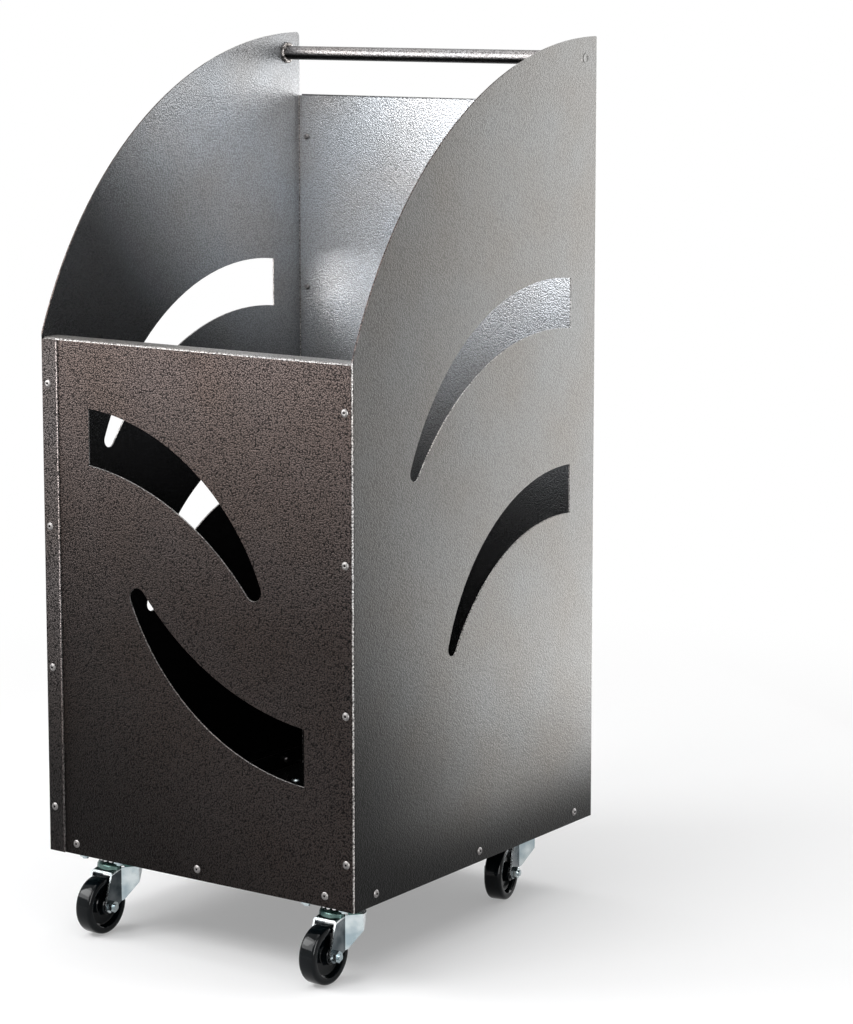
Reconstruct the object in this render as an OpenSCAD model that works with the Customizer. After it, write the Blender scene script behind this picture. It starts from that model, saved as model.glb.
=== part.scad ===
// Fireside log cart: a riveted cabinet of folded sheet steel with quarter-round sides,
// a round bar handle and four plate casters. Millimetres, +Z up, the front faces -Y.
// The origin lies on the floor, below the middle of the cart's box.

/* [Cabinet] */
// Width over the side panels
body_w = 366; // [340:1:420]
// Depth from the front flanges to the rear flanges
body_d = 406; // [390:1:460]
// Height of the front panel
front_h = 500; // [490:1:530]
// Height of the back panel
back_h = 716; // [690:1:725]
// Height of the side panels at the back
side_h = 780; // [775:1:820]
// Rounding of the side panels' top rear corner
corner_r = 5; // [3:0.5:12]

/* [Sheet] */
// Thickness of the steel sheet
sheet_t = 1.5; // [1:0.25:1.75]
// Outer radius of the folds
fold_r = 2.5; // [2:0.25:4]
// Width of the side panels' folded flanges
flange_w = 20; // [18:1:24]
// Depth of the front panel's top return
return_w = 20; // [12:1:24]
// Height of the base tray's up-turned flanges
tray_h = 20; // [16:1:30]
// Step from a panel's top edge down to the flanges that cover its sides
flange_step = 1.5; // [1:0.25:4]
// Gap between the front panel's edges and the side panels
front_gap = 1; // [0.5:0.5:3]
// Gap between the back panel's edges and the side panels
back_gap = 5; // [1:0.5:6]

/* [Crescents] */
// Wide end of the side crescents, from the front
side_wide_end = 360; // [350:1:365]
// Upper side crescent: centre and radius of the outer arc, from the front and the bottom
side_upper_outer = [326, 292, 257.5];
// Upper side crescent: centre and radius of the inner arc
side_upper_inner = [326, 225, 275.5];
// Lower side crescent: centre and radius of the outer arc
side_lower_outer = [352, 151.5, 213];
// Lower side crescent: centre and radius of the inner arc
side_lower_inner = [343, 109.5, 207];
// Radius of the side crescents' round tips
side_tip_r = 7.5; // [7:0.1:8]
// Wide end of the front panel's upper crescent, from the right side
front_wide_end = 309; // [300:1:315]
// Front crescents: centre and radius of the outer arc, from the right side and the bottom
front_outer = [327.5, 197, 239.5];
// Front crescents: centre and radius of the inner arc
front_inner = [345, 97, 287];
// Radius of the front crescents' round tips
front_tip_r = 9.5; // [9:0.1:10]
// Height of the point about which the front's two crescents mirror each other
front_turn_h = 272; // [268:1:276]

/* [Handle] */
// Diameter of the bar
bar_d = 14; // [12:0.5:18]
// Distance of the bar's axis from the rear
bar_rear = 21.5; // [18:0.5:30]
// Distance of the bar's axis from the side panels' top
bar_drop = 21; // [18:0.5:30]
// Leg length of the weld beads
weld_leg = 3; // [2.5:0.5:5]

/* [Rivets] */
// Shank diameter
rivet_d = 4; // [3.2:0.4:4.8]
// Head diameter
rivet_head_d = 7.6; // [6.5:0.1:9.5]
// Head height
rivet_head_h = 1.3; // [1:0.1:1.6]
// Distance of the front rivet columns from the sides
rivet_inset = 8.5; // [7:0.5:11]
// Distance of the back rivet columns from the sides
back_rivet_inset = 13; // [12:0.5:15]
// Distance of a column's end rivets from the panel's top and bottom
rivet_end = 44; // [35:1:60]
// Height of the bottom rivets above the panels' bottom edge
rivet_low = 10.5; // [8:0.5:13]
// Distance of the bottom rows' end rivets from the edges
rivet_row_end = 34; // [30:1:60]

/* [Casters] */
// Overall height of a caster
caster_h = 79; // [79:1:84]
// Wheel diameter
wheel_d = 56; // [50:1:57]
// Width of the tread
wheel_w = 18; // [15:1:19]
// Distance of the axle from the swivel axis
trail = 25; // [22:1:26]
// Width over the fork's legs
fork_w = 26; // [26:0.5:28]
// Thickness of the fork's sheet
fork_t = 2; // [1.5:0.25:2]
// Radius of the fork's crown
crown_r = 25; // [24:0.5:26]
// Length of a side of the square mounting plate
plate_w = 58; // [56:1:64]
// Spacing of the mounting plate's holes
plate_hole_pitch = 43; // [42:1:46]
// Number of bearing balls in a swivel head
ball_count = 15; // [10:1:16]
// Distance of the front swivel axes from the sides
front_caster_side = 48.5; // [45:0.5:70]
// Distance of the rear swivel axes from the sides
rear_caster_side = 66; // [45:0.5:75]
// Distance of the front swivel axes from the front
front_caster_inset = 43.5; // [40:0.5:60]
// Distance of the rear swivel axes from the rear
rear_caster_inset = 49; // [45:0.5:60]
// Turn at rest of the rear right caster
rear_right_turn = 13; // [-20:1:20]

/* [Hidden] */
$fn = 48;
eps = 0.01;

// the cabinet's box; the foremost wheels and the back rivets' heads end the cart's own box
base_z = caster_h;
half_w = body_w / 2;
wheel_r = wheel_d / 2;
wheel_lead = wheel_r + trail - front_caster_inset;
front_y = (wheel_lead - body_d - rivet_head_h) / 2;
rear_y = front_y + body_d;

// the side panels' arc: level at the rear, through the front panel's top edge
arc_rise = side_h - front_h;
arc_r = (arc_rise * arc_rise + body_d * body_d) / (2 * arc_rise);

front_half_w = half_w - sheet_t - front_gap;
back_half_w = half_w - sheet_t - back_gap;
rivet_r = rivet_d / 2;
rivet_hole_r = rivet_r + 0.05;
grip = 2 * sheet_t;
rivet_tail = 3.2;                 // length of the upset tail behind the sheets

// rivet places along a column or a row
front_col_n = 4;
back_col_n = 5;
function spread(lo, hi, n) = [for (i = [0:n - 1]) lo + (hi - lo) * i / (n - 1)];
front_col_z = spread(rivet_end, front_h - rivet_end, front_col_n);
back_col_z = spread(rivet_end, back_h - rivet_end, back_col_n);
row_x = spread(rivet_row_end - half_w, half_w - rivet_row_end, 3);
row_y = spread(rivet_row_end, body_d - rivet_row_end, 3);

// screws and axle: M6
m6_r = 3;
m6_hole_r = 3.2;
m6_flats = 10;
m6_nut_h = 5;
m6_head_h = 4;
m6_corner_r = m6_flats / sqrt(3);
screw_head_r = 5.25;
screw_head_h = 2.4;

// heights inside a caster, from the floor up to the mounting plate
axle_z = wheel_r;
plate_t = 2.5;
plate_z = caster_h - plate_t;
cup_floor_z = plate_z - 1.8;      // upper face of the pressed cup's floor
crown_z = caster_h - 18.6;        // underside of the crown's rim
pin_r = 4;
pin_seat_r = pin_r + 0.03;        // in the plate and the race cap
pin_bore_r = pin_r + 0.08;        // in the crown, which turns
pin_head_z = crown_z + 1.5;       // where the race cap rests on the pin's lower head
ball_r = 2.5;
ball_ring_r = 14.5;
dome_r = ball_ring_r + 5.4;       // outer radius of the crown's dome
ball_z = crown_z + 8.1;
fork_half_w = fork_w / 2;
leg_gap = fork_w - 2 * fork_t;
bush_r = 4.5;
wheel_bore_r = bush_r + 0.05;
nose_y = 2.5 - trail;             // front edge of the fork's top
nose_z = crown_z - 0.1;           // its upper face there
nose_slope = 13;                  // the top rises from there towards the crown
flare_y = -9;                     // where the legs flare out into wings
wing_run = 13;                    // length of the flare
heel_y = 14;                      // rear end of the wings
dome_under = crown_z + 3.8;       // lower and upper face of the crown's dome
dome_over = crown_z + 6.6;

// one row per caster: name, swivel axis from the cabinet's middle and front, turn at rest
casters = [
    ["front_left", -(half_w - front_caster_side), front_caster_inset, 0],
    ["front_right", half_w - front_caster_side, front_caster_inset, 0],
    ["rear_left", -(half_w - rear_caster_side), body_d - rear_caster_inset, 0],
    ["rear_right", half_w - rear_caster_side, body_d - rear_caster_inset, rear_right_turn]
];
caster_parts = ["plate", "kingpin", "race_cap", "balls", "fork", "wheel", "bush", "axle_bolt", "axle_nut"];

lacquer = "#57504c";
zinc = "#c3ccd2";
black_plastic = "#14161a";
rivet_grey = "#8d8a87";

// ---------- helpers ----------

// extrudes a drawing of depth and height along the width, about the middle
module across(w) {
    translate([-w / 2, 0, 0]) rotate([90, 0, 90]) linear_extrude(w) children();
}

// a rectangle on the origin whose corner there is rounded
module corner_block(w, h, r) {
    translate([0, r]) square([w, h - r]);
    translate([r, 0]) square([w - r, h]);
    translate([r, r]) circle(r);
}

// a rectangle on the origin whose two lower corners are rounded
module foot_block(w, h, r) {
    translate([0, r]) square([w, h - r]);
    translate([r, 0]) square([w - 2 * r, h]);
    for (x = [r, w - r]) translate([x, r]) circle(r);
}

// section of a sheet folded once: one arm along x, one along y
module angle_section(arm_x, arm_y) {
    difference() {
        corner_block(arm_x, arm_y, fold_r);
        translate([sheet_t, sheet_t]) corner_block(arm_x, arm_y, fold_r - sheet_t);
    }
}

// section of a sheet folded twice: a base along x with a flange up at each end
module channel_section(base, flange) {
    difference() {
        foot_block(base, flange, fold_r);
        translate([sheet_t, sheet_t]) foot_block(base - 2 * sheet_t, flange, fold_r - sheet_t);
    }
}

// centre of the tip circle that touches the outer arc inside and the inner arc outside,
// where the inner arc's centre is the lower one
function tip_centre(outer, inner, tip_r) =
    let (
        a = [outer[0], outer[1]],
        b = [inner[0], inner[1]],
        ra = outer[2] - tip_r,
        rb = inner[2] + tip_r,
        d = norm(b - a),
        along = (ra * ra - rb * rb + d * d) / (2 * d),
        off = sqrt(ra * ra - along * along),
        u = (b - a) / d
    )
    a + along * u + off * [u[1], -u[0]];

// a crescent between two arcs, from a straight upright end to a round tip
module crescent(end_x, outer, inner, tip_r) {
    tip = tip_centre(outer, inner, tip_r);
    to_outer = (tip - [outer[0], outer[1]]) / norm(tip - [outer[0], outer[1]]);
    to_inner = ([inner[0], inner[1]] - tip) / norm([inner[0], inner[1]] - tip);
    reach = 3 * tip_r;
    over = outer[1] + outer[2] + reach;
    difference() {
        intersection() {
            translate([outer[0], outer[1]]) circle(outer[2], $fn = 240);
            polygon([
                tip,
                tip + reach * to_outer,
                [tip[0] - reach, over],
                [end_x, over],
                [end_x, tip[1]],
                tip + reach * to_inner
            ]);
        }
        translate([inner[0], inner[1]]) circle(inner[2], $fn = 240);
    }
    translate(tip) circle(tip_r);
}

module rivet_hole(depth) {
    translate([0, 0, -depth]) cylinder(r = rivet_hole_r, h = 2 * depth);
}

// a blind rivet along z with its head up, on the face z = 0
module rivet() {
    head_r = rivet_head_d / 2;
    rim = rivet_head_h / 4;
    mandrel_r = rivet_r * 0.55;
    tail_r = rivet_r * 1.5;
    rotate_extrude($fn = 24) polygon([
        [0, -grip - rivet_tail],
        [rivet_r, -grip - rivet_tail],
        [tail_r, -grip - rivet_tail / 2],
        [tail_r * 0.9, -grip],
        [rivet_r, -grip],
        [rivet_r, 0],
        [head_r, 0],
        [head_r, rim],
        [head_r * 0.8, rivet_head_h * 0.75],
        [head_r * 0.5, rivet_head_h],
        [mandrel_r, rivet_head_h * 0.9],
        [mandrel_r, -0.4],
        [0, -0.4]
    ]);
}

// ---------- places of the rivets ----------

module at_front_columns() {
    for (x = [rivet_inset - half_w, half_w - rivet_inset]) {
        for (z = front_col_z) translate([x, front_y, base_z + z]) rotate([90, 0, 0]) children();
    }
}

module at_front_row() {
    for (x = row_x) translate([x, front_y + sheet_t, base_z + rivet_low]) rotate([90, 0, 0]) children();
}

module at_back_columns() {
    for (x = [back_rivet_inset - half_w, half_w - back_rivet_inset]) {
        for (z = back_col_z) translate([x, rear_y, base_z + z]) rotate([-90, 0, 0]) children();
    }
}

module at_back_row() {
    for (x = row_x) translate([x, rear_y - sheet_t, base_z + rivet_low]) rotate([-90, 0, 0]) children();
}

module at_right_row() {
    for (y = row_y) translate([half_w, front_y + y, base_z + rivet_low]) rotate([0, 90, 0]) children();
}

module at_left_row() {
    mirror([1, 0, 0]) at_right_row() children();
}

// ---------- cabinet ----------

// outline of a side panel, from its front bottom corner
module side_outline() {
    square([body_d, front_h]);
    intersection() {
        square([body_d, side_h]);
        translate([body_d, side_h - arc_r]) circle(arc_r, $fn = 360);
    }
}

module side_panel() {
    back_flange_top = back_h - flange_step;
    front_flange_top = front_h - flange_step;
    inner = half_w - sheet_t;
    difference() {
        intersection() {
            translate([half_w, front_y, base_z])
                rotate([0, 0, 90])
                linear_extrude(side_h) channel_section(body_d, flange_w);
            translate([0, front_y, base_z]) across(body_w) side_outline();
        }
        // the flanges end below the tops of the panels that they cover
        translate([inner - flange_w, front_y - eps, base_z + front_flange_top])
            cube([flange_w, fold_r + eps, side_h]);
        translate([inner - flange_w, rear_y - fold_r, base_z + back_flange_top])
            cube([flange_w, fold_r + eps, side_h]);
        // rounded top rear corner
        translate([inner, rear_y - corner_r, base_z + side_h - corner_r])
            rotate([90, 0, 90])
            linear_extrude(3 * sheet_t, center = true) difference() {
                square(2 * corner_r);
                circle(corner_r);
            }
        // crescents
        translate([inner - sheet_t, front_y, base_z]) rotate([90, 0, 90]) linear_extrude(3 * sheet_t) {
            crescent(side_wide_end, side_upper_outer, side_upper_inner, side_tip_r);
            crescent(side_wide_end, side_lower_outer, side_lower_inner, side_tip_r);
        }
        at_front_columns() rivet_hole(2 * sheet_t);
        at_back_columns() rivet_hole(2 * sheet_t);
        at_right_row() rivet_hole(2 * sheet_t);
    }
}

module right_side_panel() {
    color(lacquer) side_panel();
}

module left_side_panel() {
    color(lacquer) mirror([1, 0, 0]) side_panel();
}

module front_panel() {
    color(lacquer) difference() {
        translate([0, front_y + sheet_t, base_z + front_h])
            across(2 * front_half_w) mirror([0, 1]) angle_section(return_w, front_h);
        // the lower crescent is the upper one turned by half a turn
        translate([0, front_y + 3 * sheet_t, base_z]) rotate([90, 0, 0]) linear_extrude(3 * sheet_t) {
            front_crescent();
            translate([0, 2 * front_turn_h]) rotate(180) front_crescent();
        }
        at_front_columns() rivet_hole(3 * sheet_t);
        at_front_row() rivet_hole(2 * sheet_t);
    }
}

module front_crescent() {
    translate([half_w, 0]) mirror([1, 0]) crescent(front_wide_end, front_outer, front_inner, front_tip_r);
}

module back_panel() {
    color(lacquer) difference() {
        translate([-back_half_w, rear_y - 2 * sheet_t, base_z]) cube([2 * back_half_w, sheet_t, back_h]);
        at_back_columns() rivet_hole(3 * sheet_t);
        at_back_row() rivet_hole(2 * sheet_t);
    }
}

module base_tray() {
    notch = fold_r + 0.5;
    tray_w = body_w - 2 * sheet_t;
    tray_d = body_d - 4 * sheet_t;
    tray_y = front_y + 2 * sheet_t;
    color(lacquer) difference() {
        union() {
            // floor with the side flanges
            translate([-tray_w / 2, tray_y + tray_d - notch, base_z])
                rotate([90, 0, 0])
                linear_extrude(tray_d - 2 * notch) channel_section(tray_w, tray_h);
            // floor with the front and back flanges
            translate([0, tray_y, base_z]) across(tray_w - 2 * notch) channel_section(tray_d, tray_h);
        }
        at_front_row() rivet_hole(4 * sheet_t);
        at_back_row() rivet_hole(4 * sheet_t);
        at_left_row() rivet_hole(4 * sheet_t);
        at_right_row() rivet_hole(4 * sheet_t);
        at_plate_holes() cylinder(r = m6_hole_r, h = 4 * sheet_t, center = true);
    }
}

// ---------- handle ----------

module at_bar() {
    translate([0, rear_y - bar_rear, base_z + side_h - bar_drop]) children();
}

module handle_bar() {
    color(lacquer) at_bar() rotate([0, 90, 0]) cylinder(d = bar_d, h = body_w - 2 * sheet_t, center = true);
}

module handle_welds() {
    bar_r = bar_d / 2;
    color(lacquer) at_bar() for (side = [-1, 1]) {
        translate([side * (half_w - sheet_t), 0, 0]) rotate([0, -side * 90, 0]) rotate_extrude() polygon([
            [bar_r, 0],
            [bar_r + weld_leg, 0],
            [bar_r + weld_leg * 0.55, weld_leg * 0.55],
            [bar_r, weld_leg]
        ]);
    }
}

// ---------- rivets and caster screws ----------

module front_rivets() {
    color(rivet_grey) {
        at_front_columns() rivet();
        at_front_row() rivet();
    }
}

module left_rivets() {
    color(rivet_grey) at_left_row() rivet();
}

module right_rivets() {
    color(rivet_grey) at_right_row() rivet();
}

module back_rivets() {
    color(rivet_grey) {
        at_back_columns() rivet();
        at_back_row() rivet();
    }
}

// the plate holes of all casters, on the tray's underside
module at_plate_holes() {
    reach = plate_hole_pitch / 2;
    for (c = casters) translate([c[1], front_y + c[2], base_z]) {
        for (x = [-reach, reach]) for (y = [-reach, reach]) translate([x, y, 0]) children();
    }
}

module caster_screws() {
    tail = plate_t + m6_nut_h + 2;
    color(zinc) at_plate_holes() {
        translate([0, 0, -tail]) cylinder(r = m6_r, h = tail + sheet_t + eps);
        translate([0, 0, sheet_t]) rotate_extrude() polygon([
            [0, 0],
            [screw_head_r, 0],
            [screw_head_r, screw_head_h * 0.4],
            [screw_head_r * 0.7, screw_head_h * 0.9],
            [screw_head_r * 0.35, screw_head_h],
            [0, screw_head_h]
        ]);
    }
}

module caster_nuts() {
    color(zinc) at_plate_holes() translate([0, 0, -plate_t - m6_nut_h]) m6_nut();
}

module m6_nut() {
    difference() {
        intersection() {
            cylinder(r = m6_corner_r, h = m6_nut_h, $fn = 6);
            nut_chamfer(m6_nut_h);
        }
        translate([0, 0, -1]) cylinder(r = m6_r + 0.02, h = m6_nut_h + 2);
    }
}

// a spindle that takes the corners off a hexagon at both ends
module nut_chamfer(h) {
    edge = m6_flats / 2 + 0.1;
    drop = 0.6;
    past = edge + 1.2;
    rotate_extrude() polygon([[0, 0], [edge, 0], [past, drop], [past, h - drop], [edge, h], [0, h]]);
}

// ---------- caster ----------

module at_caster(c) {
    translate([c[1], front_y + c[2], 0]) children();
}

module at_fork(c) {
    at_caster(c) rotate([0, 0, c[3]]) children();
}

// mounting plate with the pressed cup that holds the upper ball race
module caster_plate() {
    cup_z = ball_z + 1;
    cup_r = ball_ring_r + 5;
    track = 3.5;
    bend = 2.5;
    hole = plate_hole_pitch / 2;
    corner = 4;
    rim = plate_w / 2 - corner;
    color(zinc) difference() {
        union() {
            translate([0, 0, plate_z]) linear_extrude(plate_t) difference() {
                union() {
                    square([plate_w, 2 * rim], center = true);
                    square([2 * rim, plate_w], center = true);
                    for (x = [-rim, rim]) for (y = [-rim, rim]) translate([x, y]) circle(corner);
                }
                circle(cup_r);
                for (x = [-hole, hole]) for (y = [-hole, hole]) translate([x, y]) circle(m6_hole_r);
            }
            rotate_extrude() polygon([
                [pin_seat_r, cup_z + 1],
                [ball_ring_r - track - 0.5, cup_z + 1],
                [ball_ring_r - track, cup_z],
                [ball_ring_r + track, cup_z],
                [cup_r, plate_z - bend],
                [cup_r + bend, plate_z],
                [cup_r + bend, caster_h],
                [cup_r, caster_h],
                [cup_r - bend, cup_floor_z],
                [pin_seat_r, cup_floor_z]
            ]);
        }
        // ball groove
        rotate_extrude() translate([ball_ring_r, ball_z + 0.15]) circle(ball_r + 0.3);
    }
}

// swivel rivet: through the plate, the crown and the race cap
module caster_kingpin() {
    head_r = 6.5;
    head_h = 2.4;
    top_r = 7;
    top_h = 2;
    color(zinc) rotate_extrude() polygon([
        [0, pin_head_z - head_h],
        [head_r - 3, pin_head_z - head_h],
        [head_r - 0.5, pin_head_z - head_h / 2],
        [head_r, pin_head_z],
        [pin_r, pin_head_z],
        [pin_r, cup_floor_z],
        [top_r, cup_floor_z],
        [top_r - 0.8, cup_floor_z + 0.8 * top_h],
        [0, cup_floor_z + top_h]
    ]);
}

// dished cap that closes the crown from below
module caster_race_cap() {
    seat_r = 7;
    cap_r = 10.5;
    cap_t = 2;
    dish = 0.8;
    color(zinc) rotate_extrude() polygon([
        [pin_seat_r, pin_head_z],
        [seat_r, pin_head_z],
        [seat_r + 2, pin_head_z + dish],
        [cap_r, pin_head_z + dish],
        [cap_r, pin_head_z + cap_t],
        [pin_seat_r, pin_head_z + cap_t]
    ]);
}

module caster_balls() {
    color("silver") for (i = [0:ball_count - 1]) {
        rotate(i * 360 / ball_count) translate([ball_ring_r, 0, ball_z]) sphere(ball_r, $fn = 24);
    }
}

// plan of the fork's pressing, drawn in by a distance: a narrow nose, wings, a round crown
module fork_plan(inward) {
    nose_half = fork_half_w - inward;
    wing = crown_r - inward;
    wing_x = fork_half_w + 12;
    translate([-nose_half, nose_y]) square([2 * nose_half, -nose_y]);
    intersection() {
        circle(wing);
        polygon([
            [nose_half, flare_y],
            [wing_x - inward, flare_y + wing_run],
            [wing_x, crown_r],
            [-wing_x, crown_r],
            [inward - wing_x, flare_y + wing_run],
            [-nose_half, flare_y]
        ]);
    }
}

// side view of the fork's legs and wings
module leg_outline() {
    boss_r = 6.8;
    top_z = crown_z + 6;
    translate([-trail, axle_z]) circle(boss_r);
    polygon([
        [nose_y + 1.8, top_z],
        [nose_y, nose_z],
        [-trail - boss_r, axle_z + 2],
        [-trail - boss_r, axle_z],
        [-trail, axle_z - boss_r],
        [boss_r / 2 - trail, axle_z - boss_r * 0.87],
        [-7, axle_z + 2.5],
        [heel_y - 4, crown_z - 4],
        [heel_y, crown_z + 1],
        [heel_y, top_z]
    ]);
}

// nose of the fork: a channel whose sloping top is folded over into the two legs
module fork_nose() {
    reach = 2 * trail;
    difference() {
        intersection() {
            translate([0, nose_y, nose_z])
                rotate([nose_slope, 0, 0])
                translate([0, reach, 0])
                rotate([90, 0, 0])
                linear_extrude(2 * reach) difference() {
                    translate([-fork_half_w, 0]) mirror([0, 1]) foot_block(fork_w, caster_h, fold_r);
                    translate([-leg_gap / 2, -fork_t]) mirror([0, 1]) foot_block(leg_gap, caster_h, 1);
                }
            // it ends inside the wings
            translate([-fork_w, -reach, 0]) cube([2 * fork_w, reach + flare_y + 1, caster_h]);
        }
        // open below the crown's dome
        linear_extrude(caster_h) intersection() {
            circle(dome_r - 2);
            square([leg_gap - 1, 4 * dome_r], center = true);
        }
    }
}

// wings: the legs' rear parts, flared out to the crown's rim
module fork_wings() {
    intersection() {
        linear_extrude(crown_z + fork_t + 0.2) difference() {
            fork_plan(0);
            fork_plan(fork_t);
        }
        translate([-2 * crown_r, flare_y, 0]) cube([4 * crown_r, 2 * crown_r, caster_h]);
    }
}

module fork_legs() {
    intersection() {
        across(3 * crown_r) leg_outline();
        union() {
            fork_nose();
            fork_wings();
        }
    }
}

// crown: a pressed dome with the lower ball groove, and its rim between the wings
module fork_crown() {
    intersection() {
        difference() {
            union() {
                rotate_extrude() polygon([
                    [pin_bore_r, dome_under],
                    [dome_r - 3.8, dome_under],
                    [dome_r - 3, crown_z - 0.2],
                    [dome_r, crown_z - 0.2],
                    [dome_r - 0.6, dome_over - 2.4],
                    [dome_r - 2.4, dome_over],
                    [pin_bore_r, dome_over]
                ]);
                intersection() {
                    rotate_extrude() polygon([
                        [dome_r - 1.8, crown_z + 1],
                        [crown_r, crown_z],
                        [crown_r, crown_z + fork_t],
                        [dome_r - 1.8, crown_z + fork_t + 1.6]
                    ]);
                    translate([-2 * crown_r, flare_y, 0]) cube([4 * crown_r, 2 * crown_r, caster_h]);
                }
            }
            rotate_extrude() translate([ball_ring_r, ball_z]) circle(ball_r);
        }
        linear_extrude(caster_h) fork_plan(0.3);
    }
}

module caster_fork() {
    color(zinc) difference() {
        union() {
            fork_legs();
            fork_crown();
        }
        translate([0, -trail, axle_z]) rotate([0, 90, 0]) {
            cylinder(r = m6_hole_r, h = 2 * fork_w, center = true);
        }
    }
}

module at_axle() {
    translate([0, -trail, axle_z]) rotate([0, 90, 0]) children();
}

// half section of the wheel: radius along x, width along y
module wheel_section() {
    tread = wheel_w / 2;
    shoulder = 3;
    hub = leg_gap / 2 - 0.5;
    web = 3;
    rim = wheel_r - 8;
    translate([rim, shoulder - tread]) square([wheel_r - rim, wheel_w - 2 * shoulder]);
    translate([rim + 2, -tread]) square([wheel_r - rim - 2 - shoulder, wheel_w]);
    for (y = [shoulder - tread, tread - shoulder]) translate([wheel_r - shoulder, y]) circle(shoulder);
    polygon([
        [rim - 2, -web],
        [rim + 2, -tread],
        [rim + 3, -tread],
        [rim + 3, tread],
        [rim + 2, tread],
        [rim - 2, web]
    ]);
    translate([wheel_bore_r, -web]) square([rim - wheel_bore_r, 2 * web]);
    translate([wheel_bore_r, -hub]) square([4, 2 * hub]);
}

module caster_wheel() {
    color(black_plastic) at_axle() rotate_extrude($fn = 72) wheel_section();
}

module caster_bush() {
    color(zinc) at_axle() difference() {
        cylinder(r = bush_r, h = leg_gap, center = true);
        cylinder(r = m6_r + 0.1, h = leg_gap + 1, center = true);
    }
}

module caster_axle_bolt() {
    length = fork_w + m6_nut_h + 2;
    color(zinc) at_axle() {
        translate([0, 0, -fork_half_w - eps]) cylinder(r = m6_r, h = length);
        translate([0, 0, -fork_half_w - m6_head_h]) intersection() {
            cylinder(r = m6_corner_r, h = m6_head_h, $fn = 6);
            nut_chamfer(m6_head_h);
        }
    }
}

module caster_axle_nut() {
    color(zinc) at_axle() translate([0, 0, fork_half_w]) m6_nut();
}

// ---------- assembly ----------

left_side_panel();
right_side_panel();
front_panel();
back_panel();
base_tray();
handle_bar();
handle_welds();
front_rivets();
left_rivets();
right_rivets();
back_rivets();
caster_screws();
caster_nuts();
for (c = casters) {
    at_caster(c) caster_plate();
    at_caster(c) caster_kingpin();
    at_caster(c) caster_race_cap();
    at_fork(c) caster_balls();
    at_fork(c) caster_fork();
    at_fork(c) caster_wheel();
    at_fork(c) caster_bush();
    at_fork(c) caster_axle_bolt();
    at_fork(c) caster_axle_nut();
}
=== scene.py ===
# %% [markdown]
# # A fireside log cart
# The cart is a cabinet of folded and riveted sheet steel on four swivel casters. Its solids come
# from a CAD program with their real sizes, so this lesson adds what CAD leaves out: softened sheet
# edges, weld beads and their prints, moulded wheels, and the finishes. We load the solids first.

import math
import random
import bpy
from mathutils import Matrix, Vector


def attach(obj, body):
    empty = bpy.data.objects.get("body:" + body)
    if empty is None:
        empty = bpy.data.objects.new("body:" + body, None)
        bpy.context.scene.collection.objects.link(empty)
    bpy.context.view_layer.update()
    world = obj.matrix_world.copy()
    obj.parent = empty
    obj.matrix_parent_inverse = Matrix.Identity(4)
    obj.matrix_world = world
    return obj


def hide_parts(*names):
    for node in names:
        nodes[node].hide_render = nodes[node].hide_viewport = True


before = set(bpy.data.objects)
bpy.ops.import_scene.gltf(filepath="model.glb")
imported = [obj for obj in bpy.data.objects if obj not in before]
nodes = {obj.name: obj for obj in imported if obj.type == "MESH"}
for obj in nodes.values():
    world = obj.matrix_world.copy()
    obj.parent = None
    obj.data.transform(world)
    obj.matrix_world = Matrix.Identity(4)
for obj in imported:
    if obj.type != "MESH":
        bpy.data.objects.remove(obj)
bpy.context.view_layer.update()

# %% [markdown]
# A few sizes of the cart are used again and again. Blender works in metres, so we write
# millimetres times MM. The front face looks towards -Y, and the floor is at z = 0.

# %% sizes
MM = 0.001
BODY_W, BODY_D = 366 * MM, 406 * MM
SHEET = 1.5 * MM
FRONT_Y = -198.9 * MM
BASE_Z = 79 * MM
BAR_Y, BAR_Z = FRONT_Y + BODY_D - 21.5 * MM, BASE_Z + 759 * MM
WHEEL_R, TRAIL = 28 * MM, 25 * MM
CROWN_Z, DOME_R = 60.2 * MM, 20.2 * MM   # where the fork's crown starts, and its radius
CASTERS = {
    "front_left": (-134.5 * MM, FRONT_Y + 43.5 * MM, 0),
    "front_right": (134.5 * MM, FRONT_Y + 43.5 * MM, 0),
    "rear_left": (-117 * MM, FRONT_Y + 357 * MM, 0),
    "rear_right": (117 * MM, FRONT_Y + 357 * MM, math.radians(13)),
}
print("handle bar at", BAR_Y, BAR_Z)

# %% [markdown]
# ## Camera
# The picture was taken with a long lens from about 3 m away, a little above the cart's rim and
# 35 degrees round to the right. A long lens keeps the upright edges nearly parallel. Shifting the
# lens a little helps too, because the camera then tilts less.

# %% camera
camera_data = bpy.data.cameras.new("camera")
camera = bpy.data.objects.new("camera", camera_data)
bpy.context.scene.collection.objects.link(camera)
TILT, TURN = 8.240, 34.868   # degrees downwards, and round to the right
camera.location = (1.7790, -2.3752, 0.9205)
camera.rotation_euler = (math.radians(90 - TILT), 0, math.radians(TURN))
camera_data.sensor_width = 36
camera_data.lens = 108.694
camera_data.shift_y = -0.09
camera_data.clip_end = 100
bpy.context.scene.camera = camera
print("camera looks down by", TILT, "degrees")

# %% [markdown]
# ## Floor, world and lamps
# Glossy sheet steel shows whatever stands around it, so what it mirrors is part of its look. Four
# soft lamps give a plain light. Three boards that only reflections see stand where the front, the
# side and the fold between them send the camera's look, as white boards do in a photo studio. The
# floor is nearly white. Close to the cart it is mostly lit paper, which keeps the soft shadow, and
# further out it fades to the white of the world. The world lights the cart with only a third of the
# white that it shows.

# %% helper for a material's nodes
def new_material(name):
    material = bpy.data.materials.new(name)
    material.use_nodes = True
    tree = material.node_tree
    return material, tree, tree.nodes["Principled BSDF"]


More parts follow.
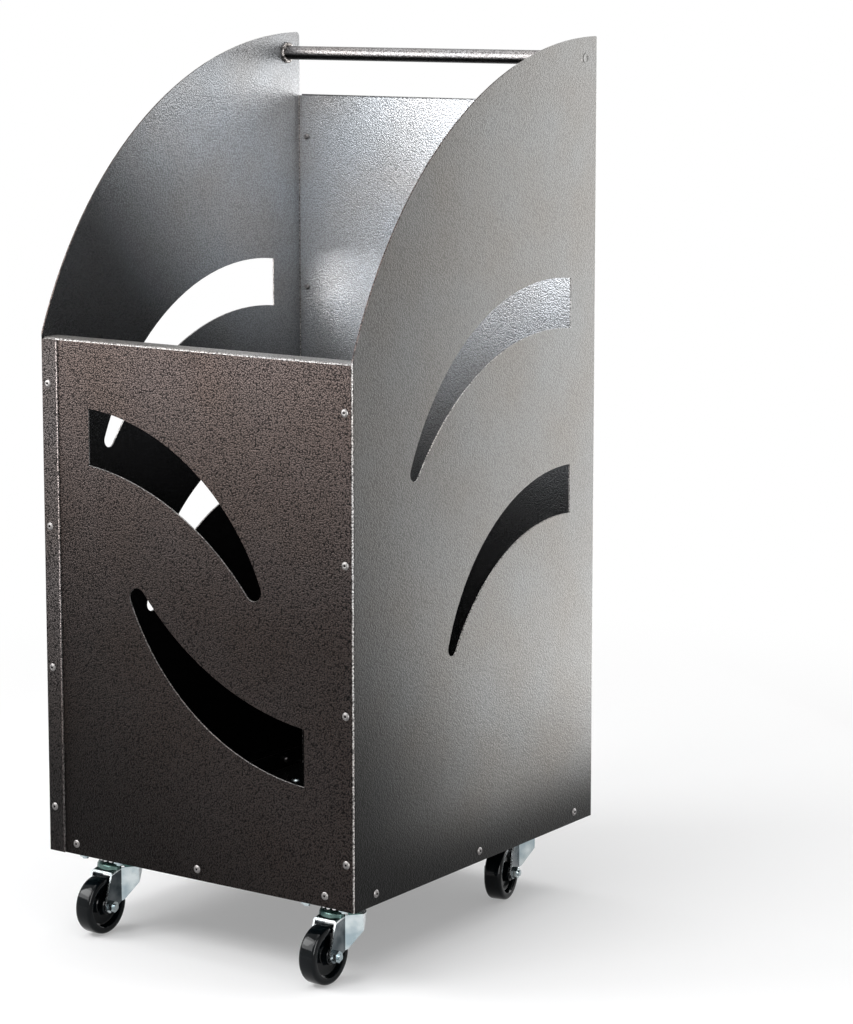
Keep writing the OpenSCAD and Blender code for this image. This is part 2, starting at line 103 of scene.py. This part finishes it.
def add_node(tree, kind, settings=None, **inputs):
    node = tree.nodes.new(kind)
    for key, value in (settings or {}).items():
        setattr(node, key, value)
    for key, value in inputs.items():
        socket = node.inputs[key.replace("_", " ")]
        if isinstance(value, bpy.types.NodeSocket):
            tree.links.new(value, socket)
        else:
            socket.default_value = value
    return node


def soft_step(tree, value, low, high, left):
    """A smooth rise from left, below low, to 1, above high."""
    step = add_node(tree, "ShaderNodeMapRange", {"interpolation_type": "SMOOTHSTEP"}, Value=value)
    step.inputs["From Min"].default_value = low
    step.inputs["From Max"].default_value = high
    step.inputs["To Min"].default_value = left
    return step.outputs[0]


def as_seen(tree):
    """1 for rays that show the background: from the camera, in gloss and through glass."""
    path = add_node(tree, "ShaderNodeLightPath")
    seen = path.outputs["Is Camera Ray"]
    for ray in ("Is Glossy Ray", "Is Transmission Ray"):
        both = add_node(tree, "ShaderNodeMath", {"operation": "MAXIMUM"})
        tree.links.new(seen, both.inputs[0])
        tree.links.new(path.outputs[ray], both.inputs[1])
        seen = both.outputs[0]
    return seen


# %% floor and world
bpy.ops.mesh.primitive_plane_add(size=60, location=(0, 0, -0.0005))
floor = bpy.context.object
floor.name = "floor"
floor_paper, tree, shader = new_material("floor_paper")
shader.inputs["Base Color"].default_value = (0.92, 0.92, 0.925, 1)
shader.inputs["Roughness"].default_value = 0.9
shader.inputs["Specular IOR Level"].default_value = 0.1
glow = add_node(tree, "ShaderNodeEmission", Color=(1, 1, 1, 1), Strength=1.0)
place = add_node(tree, "ShaderNodeTexCoord").outputs["Object"]
away = add_node(tree, "ShaderNodeVectorMath", {"operation": "LENGTH"})
tree.links.new(place, away.inputs[0])
whiter = soft_step(tree, away.outputs["Value"], 0.3, 1.5, 0.3)   # from 0.3 m to 1.5 m away
shown = add_node(tree, "ShaderNodeMath", {"operation": "MULTIPLY"})
tree.links.new(as_seen(tree), shown.inputs[0])
tree.links.new(whiter, shown.inputs[1])
paper = add_node(tree, "ShaderNodeMixShader", Fac=shown.outputs[0])
tree.links.new(shader.outputs[0], paper.inputs[1])
tree.links.new(glow.outputs[0], paper.inputs[2])
tree.links.new(paper.outputs[0], tree.nodes["Material Output"].inputs["Surface"])
floor.data.materials.append(floor_paper)

bpy.context.scene.view_settings.view_transform = "Standard"
world = bpy.data.worlds.new("studio")
bpy.context.scene.world = world
world.use_nodes = True
tree = world.node_tree
strength = add_node(tree, "ShaderNodeMapRange")
tree.links.new(as_seen(tree), strength.inputs["Value"])
strength.inputs["To Min"].default_value = 0.35
strength.inputs["To Max"].default_value = 1.0
tree.links.new(strength.outputs[0], tree.nodes["Background"].inputs["Strength"])
tree.nodes["Background"].inputs["Color"].default_value = (1, 1, 1, 1)

# %% lamps
def soft_lamp(name, place, target, width, height, power):
    data = bpy.data.lights.new(name, "AREA")
    data.shape = "RECTANGLE"
    data.size, data.size_y, data.energy = width, height, power
    lamp = bpy.data.objects.new(name, data)
    bpy.context.scene.collection.objects.link(lamp)
    lamp.location = place
    lamp.rotation_euler = (Vector(target) - Vector(place)).to_track_quat("-Z", "Y").to_euler()
    lamp.visible_camera = False
    return lamp


soft_lamp("lamp_key", (-1.3, -1.2, 1.5), (0, 0, 0.3), 0.9, 0.9, 20)
soft_lamp("lamp_top", (-0.2, -0.1, 2.2), (0, 0, 0), 1.6, 1.6, 18)
soft_lamp("lamp_front", (-0.3, -1.6, 1.9), (0, 0.2, 0.7), 0.9, 0.9, 20)
soft_lamp("lamp_fill", (1.1, 0.5, 1.9), (-0.1, 0.1, 0.7), 0.9, 0.9, 14)
print(len(bpy.data.lights), "lamps")

# %% boards that only reflections see
FRONT_MIRROR = Vector((-0.572, -0.820, 0))   # where the front face sends the camera's look
SIDE_MIRROR = Vector((0.572, 0.820, 0))      # where the right side sends it
CORNER_MIRROR = Vector((0.820, -0.572, 0))   # where the fold between them sends it


def softbox(name, mirror, distance, aside, low, width, height, radiance):
    """A lamp square to a mirror direction: its distance, its shift to the left, its lower edge."""
    left = Vector((-mirror.y, mirror.x, 0))
    target = left * aside + Vector((0, 0, low + height / 2))
    power = radiance * math.pi * width * height
    return soft_lamp(name, target + mirror * distance, target, width, height, power)


for board in (softbox("board_left", FRONT_MIRROR, 1.35, 0.0, 0.48, 1.3, 0.9, 7.0),
              softbox("board_right", SIDE_MIRROR, 0.85, 0.47, 0.01, 1.2, 1.1, 3.6),
              softbox("board_corner", CORNER_MIRROR, 1.3, 0.0, 0.10, 0.5, 1.1, 12.0)):
    board.visible_diffuse = False
    print(board.name, "at", board.location)

# %% [markdown]
# ## Finishes
# The lacquer is a hammertone: a glossy coat that dries into fine cells, with metal pigment gathered
# in them. Voronoi cells roughened by a finer noise give the colour and a slight relief, on Object
# coordinates, so every reflection breaks into speckle. A slow noise lets the hue drift. Each side
# of the cart mirrors another part of the studio, so the one lacquer is made in several tones, which
# are lit and shaded copies of it: painted reflection. Each tone may also fade along a direction,
# which is painted shade, darker towards the foot and in a few other places.

# %% hammertone lacquer
def hammertone(name, dark, light, painted_shade_fades, metal=0.95, relief=0.00022, rough=0.33):
    """dark and light are the colours of the hollows and of the flake. Each fade is painted shade,
    (direction, from, to, tone): the tone is left below from and full above to."""
    material, tree, shader = new_material(name)
    coords = add_node(tree, "ShaderNodeTexCoord").outputs["Object"]
    cells = add_node(tree, "ShaderNodeTexVoronoi", Vector=coords, Scale=600.0, Randomness=0.9)
    fine = add_node(tree, "ShaderNodeTexNoise", Vector=coords, Scale=1100.0, Detail=1.0)
    mixed = add_node(tree, "ShaderNodeMath", {"operation": "MULTIPLY_ADD"})
    tree.links.new(cells.outputs["Distance"], mixed.inputs[0])
    mixed.inputs[1].default_value = -1.2
    tree.links.new(fine.outputs[0], mixed.inputs[2])
    height = add_node(tree, "ShaderNodeMapRange", Value=mixed.outputs[0])
    height.inputs["From Min"].default_value = -0.38
    height.inputs["From Max"].default_value = 0.18
    ramp = add_node(tree, "ShaderNodeValToRGB", Fac=height.outputs[0])
    ramp.color_ramp.elements[0].color = (*dark, 1)
    ramp.color_ramp.elements[1].color = (*light, 1)
    cloud = add_node(tree, "ShaderNodeTexNoise", Vector=coords, Scale=11.0, Detail=2.0)
    drift = add_node(tree, "ShaderNodeValToRGB", Fac=cloud.outputs[0])
    drift.color_ramp.elements[0].position = 0.3
    drift.color_ramp.elements[0].color = (0.97, 0.93, 0.90, 1)
    drift.color_ramp.elements[1].position = 0.7
    drift.color_ramp.elements[1].color = (1.03, 1.05, 1.08, 1)
    tinted = add_node(tree, "ShaderNodeVectorMath", {"operation": "MULTIPLY"})
    tree.links.new(ramp.outputs[0], tinted.inputs[0])
    tree.links.new(drift.outputs[0], tinted.inputs[1])
    colour = tinted.outputs["Vector"]
    # each fade darkens the colour along a direction: painted shade
    for direction, low, high, left in painted_shade_fades:
        along = add_node(tree, "ShaderNodeVectorMath", {"operation": "DOT_PRODUCT"})
        tree.links.new(coords, along.inputs[0])
        along.inputs[1].default_value = direction
        fade = soft_step(tree, along.outputs["Value"], low, high, left)
        darker = add_node(tree, "ShaderNodeVectorMath", {"operation": "SCALE"})
        tree.links.new(colour, darker.inputs[0])
        tree.links.new(fade, darker.inputs["Scale"])
        colour = darker.outputs["Vector"]
    tree.links.new(colour, shader.inputs["Base Color"])
    bump = add_node(tree, "ShaderNodeBump", Strength=1.0, Distance=relief, Height=height.outputs[0])
    tree.links.new(bump.outputs[0], shader.inputs["Normal"])
    shader.inputs["Roughness"].default_value = rough
    shader.inputs["Metallic"].default_value = metal
    return material


# %% [markdown]
# Front and back are brown. The sides are silvery and the inside paler: these are lit copies of the
# lacquer, with painted reflection. The inside of the back panel has its own tone, with a painted
# dark line along its top edge. The seam tone is for the left front flange: a painted highlight, a
# thin pale line along its inner edge. Folds and cut edges, the weld beads and the handle bar get
# painted highlights, so these three tones are paler than the brown, and the bar has painted shade
# on its underside.

# %% eight tones of lacquer
UP, DOWN, BACK = (0, 0, 1), (0, 0, -1), (0, 1, 0)
# brown, with painted shade towards the foot and towards the left
lacquer = hammertone("lacquer_brown_painted_shade_below", (0.0085, 0.0070, 0.0068), (0.082, 0.064, 0.058),
                     [(UP, 0.28, 0.60, 0.36), ((1, 0, 1.5), 0.0, 0.40, 0.3)])
# silvery sides: painted reflection, with painted shade at the foot, front, lower front and top
side_lacquer_painted_sheen = hammertone(
    "lacquer_silvery_painted_sheen", (0.117, 0.1145, 0.109), (0.153, 0.151, 0.144),
    [(UP, 0.083, 0.160, 0.07), (BACK, -0.22, 0.05, 0.65), ((0, 1, 0.6), -0.13, 0.15, 0.06),
     (DOWN, -0.45, -0.15, 0.7)], relief=0.00009)
# painted highlight: a thin pale line at the flange's inner edge, painted shade elsewhere and low
seam_painted_highlight = hammertone("lacquer_painted_seam_highlight", (0.05, 0.045, 0.044), (0.38, 0.33, 0.315),
                          [(UP, 0.12, 0.38, 0.25), ((1, 0, 0), -0.1645, -0.1639, 0.19)])
# the inside is paler: painted reflection
INSIDE_PAINTED_SHEEN = ((0.33, 0.34, 0.35), (0.51, 0.53, 0.55))
# painted shade low down and towards the front, inside the cabinet
PAINTED_SHADE_BELOW = [(UP, 0.35, 0.68, 0.14), ((0, 1, 0.8), 0.40, 0.66, 0.08)]
# and painted shade towards the top, by the handle
inner_painted_sheen = hammertone("lacquer_inside", *INSIDE_PAINTED_SHEEN, PAINTED_SHADE_BELOW + [(DOWN, -0.86, -0.74, 0.35)],
                           metal=0.45, relief=0.00018, rough=0.24)
# paler inside: painted reflection, with a painted dark line along the back panel's top edge
back_painted_sheen = hammertone("lacquer_inside_the_back_painted_dark_line", *INSIDE_PAINTED_SHEEN,
                          PAINTED_SHADE_BELOW + [(DOWN, -0.7950, -0.7926, 0.04)],
                          metal=0.45, relief=0.00018, rough=0.24)
# painted highlight on folds and cut edges
edge_painted_highlight = hammertone("lacquer_painted_edge_highlight", (0.05, 0.047, 0.045), (0.36, 0.35, 0.34), [], 0.6)
# painted highlight on the weld beads
bead_painted_highlight = hammertone("lacquer_on_welds_painted_highlight", (0.06, 0.055, 0.05), (0.50, 0.47, 0.45), [], 0.9)
# painted highlights on the bar, with painted shade on its underside
bar_painted_highlight_and_shade = hammertone("lacquer_on_the_bar_painted_shade_below", (0.09, 0.085, 0.085), (0.23, 0.225, 0.225),
                         [(UP, BAR_Z - 0.003, BAR_Z + 0.0005, 0.08)], relief=0.0001)
print("lacquer in eight tones")

# %% [markdown]
# Zinc plating is a thin bright metal with a bluish cast that wanders over the sheet. The pressed
# caster parts are slightly uneven, so a soft noise changes the tint and a finer one the gloss. The
# bare rivets are duller than zinc, and the bearing balls are brighter. Darker copies of the zinc
# are painted shade on the fork legs and on the race, whose green is the plating's own tint, a paler
# copy is a painted highlight on cut edges, and a near-black one is painted shade in rivet hollows.

# %% zinc, bare rivet and ball steel
def plated_metal(name, tint_a, tint_b, rough, scale):
    material, tree, shader = new_material(name)
    coords = add_node(tree, "ShaderNodeTexCoord").outputs["Object"]
    drift = add_node(tree, "ShaderNodeTexNoise", Vector=coords, Scale=scale, Detail=2.0)
    ramp = add_node(tree, "ShaderNodeValToRGB", Fac=drift.outputs[0])
    ramp.color_ramp.elements[0].position = 0.35
    ramp.color_ramp.elements[0].color = (*tint_a, 1)
    ramp.color_ramp.elements[1].position = 0.65
    ramp.color_ramp.elements[1].color = (*tint_b, 1)
    tree.links.new(ramp.outputs[0], shader.inputs["Base Color"])
    grain = add_node(tree, "ShaderNodeTexNoise", Vector=coords, Scale=scale * 12, Detail=3.0)
    gloss = add_node(tree, "ShaderNodeMapRange", Value=grain.outputs[0])
    gloss.inputs["To Min"].default_value = rough * 0.75
    gloss.inputs["To Max"].default_value = rough * 1.25
    tree.links.new(gloss.outputs[0], shader.inputs["Roughness"])
    bump = add_node(tree, "ShaderNodeBump", Strength=0.12, Distance=0.0002, Height=grain.outputs[0])
    tree.links.new(bump.outputs[0], shader.inputs["Normal"])
    shader.inputs["Metallic"].default_value = 1.0
    return material


METALS = {
    "zinc_plating": ((0.30, 0.37, 0.40), (0.56, 0.61, 0.62), 0.22, 60.0),
    # painted shade on the fork legs
    "zinc_painted_shade_on_legs": ((0.055, 0.070, 0.080), (0.17, 0.19, 0.20), 0.24, 60.0),
    # green is the plating's own tint; its darkness is painted shade
    "race_zinc_painted_shade": ((0.035, 0.075, 0.070), (0.15, 0.22, 0.20), 0.24, 90.0),
    # painted highlight on cut edges
    "zinc_painted_highlight_on_edges": ((0.62, 0.68, 0.70), (0.80, 0.83, 0.84), 0.26, 60.0),
    "rivet_metal": ((0.13, 0.125, 0.125), (0.21, 0.20, 0.195), 0.38, 300.0),
    # painted shade in the rivets' hollows
    "rivet_hollow_painted_shade": ((0.004, 0.004, 0.004), (0.010, 0.009, 0.009), 0.60, 300.0),
    "ball_steel": ((0.60, 0.60, 0.61), (0.68, 0.68, 0.69), 0.16, 120.0),
}
zinc, leg_zinc_painted_shade, greenish_zinc_painted_shade, edge_zinc_painted_highlight, rivet_metal, rivet_hollow_painted_shade, ball_steel = (
    plated_metal(name, *values) for name, values in METALS.items())
print("metals made")

# %% [markdown]
# The wheels are injection-moulded plastic, black and glossy. The mould leaves it faintly uneven, so
# one slow noise changes the gloss and, very slightly, the tint.

# %% black moulded plastic
wheel_plastic, tree, shader = new_material("black_moulded_plastic")
coords = add_node(tree, "ShaderNodeTexCoord").outputs["Object"]
flow = add_node(tree, "ShaderNodeTexNoise", Vector=coords, Scale=70.0, Detail=3.0)
shade = add_node(tree, "ShaderNodeValToRGB", Fac=flow.outputs[0])
shade.color_ramp.elements[0].color = (0.001, 0.0015, 0.002, 1)
shade.color_ramp.elements[1].color = (0.003, 0.005, 0.0065, 1)
tree.links.new(shade.outputs[0], shader.inputs["Base Color"])
gloss = add_node(tree, "ShaderNodeMapRange", Value=flow.outputs[0])
gloss.inputs["To Min"].default_value = 0.06
gloss.inputs["To Max"].default_value = 0.12
tree.links.new(gloss.outputs[0], shader.inputs["Roughness"])
shader.inputs["Specular IOR Level"].default_value = 0.14
print(wheel_plastic.name, "made")

# %% [markdown]
# Every CAD solid gets one finish, found by the end of its name. Only a rivet has a second one: the
# hollow that its pin left in the head gets painted shade, near black. Its floor looks straight out,
# and its wall is longer than the head's rim is high.

# %% finishes of the CAD nodes
FINISH = {
    "rivets": rivet_metal,
    "caster_screws": zinc,
    "caster_nuts": zinc,
    "handle_bar": bar_painted_highlight_and_shade,
    "_plate": greenish_zinc_painted_shade,
    "_race_cap": greenish_zinc_painted_shade,
    "_kingpin": greenish_zinc_painted_shade,
    "_balls": ball_steel,
    "_wheel": wheel_plastic,
}
for name, node in nodes.items():
    finish = next((m for key, m in FINISH.items() if name.endswith(key)), None)
    if finish is None:
        finish = zinc if name.startswith(("front_left_", "front_right_", "rear_")) else lacquer
    node.data.materials.clear()
    node.data.materials.append(finish)
print("finishes given to", len(nodes), "nodes")

# %% hollows of the rivets
RIM_HEIGHT = 0.8 * MM
RIVETS_LOOK = {"front_rivets": (1, -1), "back_rivets": (1, 1), "left_rivets": (0, -1),
               "right_rivets": (0, 1)}
for name, (axis, out) in RIVETS_LOOK.items():
    rivets = nodes[name].data
    rivets.materials.append(rivet_hollow_painted_shade)
    for face in rivets.polygons:
        depths = [rivets.vertices[i].co[axis] for i in face.vertices]
        wall = abs(face.normal[axis]) < 0.1 and max(depths) - min(depths) > RIM_HEIGHT
        # these faces get painted shade, near black
        if wall or face.normal[axis] * out > 0.999:
            face.material_index = 1
    print(name, sum(face.material_index for face in rivets.polygons), "dark faces")

# %% [markdown]
# ## Sheet with soft edges
# A real cut edge is never perfectly sharp, and the lacquer rounds it further, so each edge of a
# panel catches a thin line of light. We copy each panel's solid, merge its triangles into clean
# faces, and let a Bevel modifier round the edges by a third of a millimetre.

# %% a copy with soft edges
def only(obj):
    bpy.ops.object.select_all(action="DESELECT")
    obj.select_set(True)
    bpy.context.view_layer.objects.active = obj


def smooth(obj, degrees=35):
    only(obj)
    bpy.ops.object.shade_smooth_by_angle(angle=math.radians(degrees))


def softened(name, node_name, width):
    source = nodes[node_name]
    panel = bpy.data.objects.new(name, source.data.copy())
    bpy.context.scene.collection.objects.link(panel)
    only(panel)
    bpy.ops.object.mode_set(mode="EDIT")
    bpy.ops.mesh.select_all(action="SELECT")
    bpy.ops.mesh.remove_doubles(threshold=1e-6)
    bpy.ops.mesh.dissolve_limited(angle_limit=math.radians(0.5))
    bpy.ops.object.mode_set(mode="OBJECT")
    bevel = panel.modifiers.new("soft_edges", "BEVEL")
    bevel.width = width
    bevel.segments = 2
    bevel.limit_method = "ANGLE"
    bevel.angle_limit = math.radians(40)
    bpy.ops.object.modifier_apply(modifier=bevel.name)
    smooth(panel, 60)
    flat = panel.modifiers.new("keep_faces_flat", "WEIGHTED_NORMAL")
    flat.weight = 100
    flat.keep_sharp = True
    bpy.ops.object.modifier_apply(modifier=flat.name)
    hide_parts(node_name)
    return panel


# %% [markdown]
# Each face of a sheet then gets its tone by where it looks, which paints the reflection that it
# shows. The fold at the front, the front panel's top and the cut edges get a painted highlight, so
# these are pale. A cut edge is a narrow strip that stands square to the sheet, or that closes the
# end of a flange.

# %% which tone a face gets
def narrow(panel, face, width):
    """True for a strip that is narrower than width."""
    points = [panel.data.vertices[i].co for i in face.vertices]
    around = sum((a - b).length for a, b in zip(points, points[1:] + points[:1]))
    return face.area < around * width / 2


def looks_inward(face):
    """True for a face that looks up, or at the middle of the cabinet."""
    n, c = face.normal, face.center
    if abs(n.x) > 0.7:
        return n.x * c.x < 0
    return n.y * c.y < 0 if abs(n.y) > 0.7 else n.z > 0.5


def cut_face(panel, face, axis, middle):
    """True for a thin face that isn't part of the sheet's two broad sides."""
    in_plane = abs(face.normal[axis]) > 0.9 and abs(abs(face.center[axis]) - middle) < 3 * MM
    return narrow(panel, face, 2 * MM) and not in_plane


def gets_painted_highlight(panel, face, axis, middle):
    """True where a painted highlight goes: on the fold at the front, on the front panel's top, and
    on the cut faces, which stand square to the sheet, or along it at the end of a flange."""
    n, c = face.normal, face.center
    if axis == 1 and n.z > 0.3:
        return True
    if axis == 0 and n.y < -0.45 and abs(n.x) > 0.45:
        return True
    across, off_sheet = abs(n[axis]), abs(abs(c[axis]) - middle)
    if not cut_face(panel, face, axis, middle):
        return False
    return off_sheet < 0.8 * MM if across < 0.02 else across > 0.3 and off_sheet > 3 * MM


def paint(panel, axis, middle, painted_edge_highlights):
    """Brown front and back; silvery sides and a paler inside are painted reflection, pale edges
    painted highlights.
    """
    inside = back_painted_sheen if panel.name.startswith("back") else inner_painted_sheen
    on_left = panel.name.startswith("left")
    panel.data.materials.clear()
    for tone in (lacquer, side_lacquer_painted_sheen, inside, edge_painted_highlight, seam_painted_highlight):
        panel.data.materials.append(tone)
    for face in panel.data.polygons:
        thin = cut_face(panel, face, axis, middle)
        # sides that look out get the silvery painted reflection
        face.material_index = 1 if abs(face.normal.x) > 0.7 and not thin else 0
        # faces that look inward or up get the paler painted reflection
        if looks_inward(face) and not thin:
            face.material_index = 2
        # painted highlight on the fold, the front panel's top and cut edges
        if painted_edge_highlights and gets_painted_highlight(panel, face, axis, middle):
            face.material_index = 3
        # the left flange's front gets the painted seam highlight
        if on_left and face.normal.y < -0.9 and face.center.y < 0 and not thin:
            face.material_index = 4


# %% the five folded sheets
SHEET_EDGE = 0.32 * MM
# axis across the sheet, distance of its middle from the origin, and whether its edges get painted
# highlights
SIDE_PLANE = (0, BODY_W / 2 - SHEET / 2, True)
SHEET_PLANE = {
    "left_side_panel": SIDE_PLANE,
    "right_side_panel": SIDE_PLANE,
    "front_panel": (1, -FRONT_Y - 1.5 * SHEET, True),
    "back_panel": (1, FRONT_Y + BODY_D - 1.5 * SHEET, False),
    "base_tray": (2, BASE_Z + SHEET / 2, False),
}
for node_name, plane in SHEET_PLANE.items():
    sheet_name = node_name.replace("panel", "sheet").replace("tray", "pan")
    sheet = softened(sheet_name, node_name, SHEET_EDGE)
    paint(sheet, *plane)
    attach(sheet, "cabinet")
    print(sheet.name, len(sheet.data.polygons), "faces")

# %% [markdown]
# A fork is pressed from flat sheet. Its legs get painted shade, dull and dark, while the flared
# wings stay bright. Every cut edge gets a painted highlight, and the crown is greenish with painted
# shade. We choose the tone by where a face looks and lies.

# %% the four forks
FORK_EDGE, FORK_SHEET = 0.3 * MM, 2.4 * MM   # the edge's rounding, and just over the thickness


def plate_fork(fork, x, y, turn):
    fork.data.materials.clear()
    for tone in (zinc, leg_zinc_painted_shade, greenish_zinc_painted_shade, edge_zinc_painted_highlight):
        fork.data.materials.append(tone)
    across = Vector((math.cos(turn), math.sin(turn), 0))
    # legs get painted shade, cut edges a painted highlight, crown and top faces greenish painted
    # shade
    for face in fork.data.polygons:
        from_pin = (face.center.xy - Vector((x, y))).length
        if from_pin < DOME_R and face.center.z > CROWN_Z:
            face.material_index = 2
        elif narrow(fork, face, FORK_SHEET):
            face.material_index = 3
        elif abs(face.normal.dot(across)) > 0.97:
            face.material_index = 1
        elif face.normal.z > 0.3:
            face.material_index = 2


for corner, place_and_turn in CASTERS.items():
    fork = softened(corner + "_pressed_fork", corner + "_fork", FORK_EDGE)
    plate_fork(fork, *place_and_turn)
    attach(fork, corner + "_swivel_fork")
print("each fork has", len(fork.data.polygons), "faces")

# %% [markdown]
# ## Weld beads
# The handle bar is welded to the side panels all round. A bead is a row of overlapping puddles, so
# we start from a torus round the bar's end and scale its rings unevenly, one after another. All of
# a new primitive is selected, so everything is deselected before a ring is picked.

# %% weld bead
BEAD_R, BEAD_THICK, BEAD_OUT = 8.4 * MM, 2.3 * MM, 1.3 * MM


def weld_bead(name, side):
    rings, around = 32, 10
    x = side * (BODY_W / 2 - SHEET - BEAD_OUT)
    bpy.ops.mesh.primitive_torus_add(
        location=(x, BAR_Y, BAR_Z), rotation=(0, math.radians(90), 0),
        major_radius=BEAD_R, minor_radius=BEAD_THICK, major_segments=rings, minor_segments=around)
    bead = bpy.context.object
    bead.name = name
    bpy.ops.object.transform_apply(location=True, rotation=True, scale=True)
    spread = random.Random(7 if side > 0 else 8)
    centre = Vector((x, BAR_Y, BAR_Z))
    for ring in range(rings):
        a = 2 * math.pi * ring / rings
        bpy.ops.object.mode_set(mode="EDIT")
        bpy.ops.mesh.select_all(action="DESELECT")
        bpy.ops.object.mode_set(mode="OBJECT")
        for v in bead.data.vertices:
            b = math.atan2(v.co.z - centre.z, v.co.y - centre.y)
            v.select = abs((b - a + math.pi) % (2 * math.pi) - math.pi) < 0.01
        bpy.ops.object.mode_set(mode="EDIT")
        k = 0.95 + 0.20 * math.sin(ring * 2 * math.pi / 4) + spread.uniform(-0.22, 0.22)
        mid = centre + BEAD_R * Vector((0, math.cos(a), math.sin(a)))
        bpy.ops.transform.resize(value=(k, k, k), center_override=mid)
        bpy.ops.object.mode_set(mode="OBJECT")
    smooth(bead, 60)
    bead.data.materials.append(bead_painted_highlight)
    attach(bead, "cabinet")
    return bead


left_bead = weld_bead("left_weld_bead", -1)
right_bead = weld_bead("right_weld_bead", 1)
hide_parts("handle_welds")
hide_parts("handle_welds")
print("beads", len(left_bead.data.vertices), "points each")

# %% [markdown]
# The heat of each weld shows on the outside of the panel too, as a faint raised disc with a ring
# round it. It is a low cylinder whose face is inset and sunk a little.

# %% weld prints outside
PRINT_R, PRINT_RIM, PRINT_PROUD = 5.2 * MM, 1.4 * MM, 0.3 * MM
PRINT_SLOPE, PRINT_SUNK = 0.6 * MM, 0.22 * MM


def weld_print(name, side):
    bpy.ops.mesh.primitive_cylinder_add(
        vertices=32, radius=PRINT_R, depth=2 * PRINT_PROUD,
        location=(side * BODY_W / 2, BAR_Y, BAR_Z), rotation=(0, math.radians(90), 0))
    mark = bpy.context.object
    mark.name = name
    bpy.ops.object.transform_apply(location=True, rotation=True, scale=True)
    bpy.ops.object.mode_set(mode="EDIT")
    bpy.ops.mesh.select_all(action="DESELECT")
    bpy.ops.object.mode_set(mode="OBJECT")
    for face in mark.data.polygons:
        face.select = face.normal.x * side > 0.9
    bpy.ops.object.mode_set(mode="EDIT")
    bpy.ops.mesh.inset(thickness=PRINT_RIM, depth=0)
    bpy.ops.mesh.inset(thickness=PRINT_SLOPE, depth=-PRINT_SUNK)
    bpy.ops.object.mode_set(mode="OBJECT")
    bevel = mark.modifiers.new("soft_rim", "BEVEL")
    bevel.width = 0.2 * MM
    bevel.segments = 2
    bpy.ops.object.modifier_apply(modifier=bevel.name)
    smooth(mark, 60)
    mark.data.materials.append(side_lacquer_painted_sheen)
    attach(mark, "cabinet")
    return mark


for side, name in ((-1, "left_weld_print"), (1, "right_weld_print")):
    print(name, len(weld_print(name, side).data.polygons), "faces")

# %% [markdown]
# ## Wheels
# The wheel is one moulding: a broad tread with rounded shoulders, a deep recess on each side, a
# thin web and a hub. A lathe could turn this profile, and Spin does the same here. Half the section
# is a chain of points from the bore to the tread. We mirror it, spin the whole once round the X
# axis, and set a copy of this wheel in each fork.

# %% wheel profile
def wheel_profile():
    """Radius and distance from the middle plane, in millimetres, from one bore end to the other."""
    half = [(4.6, 10.4), (8.2, 10.4), (8.8, 9.9), (9.4, 3.6), (10.2, 3.0), (18.6, 3.0),
            (19.6, 3.4), (20.8, 7.6), (21.4, 8.7), (22.2, 9.0), (24.6, 9.0), (25.9, 8.8),
            (27.1, 8.0), (27.8, 6.9), (28.0, 5.6), (28.0, 0.35), (28.0, 0.12)]
    return half + [(r, -x) for r, x in reversed(half)]


def spun_wheel(profile):
    """One wheel with its middle at the origin, its axle along X."""
    bpy.ops.mesh.primitive_circle_add(vertices=len(profile), radius=1, location=(0, 0, 0))
    wheel = bpy.context.object
    for v, (r, x) in zip(wheel.data.vertices, profile):
        v.co = Vector((x * MM, 0, r * MM))
    bpy.ops.object.mode_set(mode="EDIT")
    bpy.ops.mesh.select_all(action="SELECT")
    bpy.ops.mesh.spin(steps=96, angle=2 * math.pi, center=(0, 0, 0), axis=(1, 0, 0))
    bpy.ops.mesh.select_all(action="SELECT")
    bpy.ops.mesh.remove_doubles(threshold=1e-6)
    bpy.ops.mesh.normals_make_consistent(inside=False)
    bpy.ops.object.mode_set(mode="OBJECT")
    smooth(wheel, 35)
    wheel.data.materials.append(wheel_plastic)
    return wheel


first_wheel = spun_wheel(wheel_profile())
print("one wheel has", len(first_wheel.data.polygons), "faces")

# %% four wheels
for corner, (x, y, turn) in CASTERS.items():
    wheel = bpy.data.objects.new(corner + "_moulded_wheel", first_wheel.data.copy())
    bpy.context.scene.collection.objects.link(wheel)
    swivel = Matrix.Translation((x, y, WHEEL_R)) @ Matrix.Rotation(turn, 4, "Z")
    wheel.data.transform(swivel @ Matrix.Translation((0, -TRAIL, 0)))
    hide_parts(corner + "_wheel")
    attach(wheel, corner + "_rolling_wheel")
bpy.data.objects.remove(first_wheel)
print(len(CASTERS), "wheels")

# %% [markdown]
# ## Last step
# We update the view layer and finish.

# %% finish
bpy.context.view_layer.update()
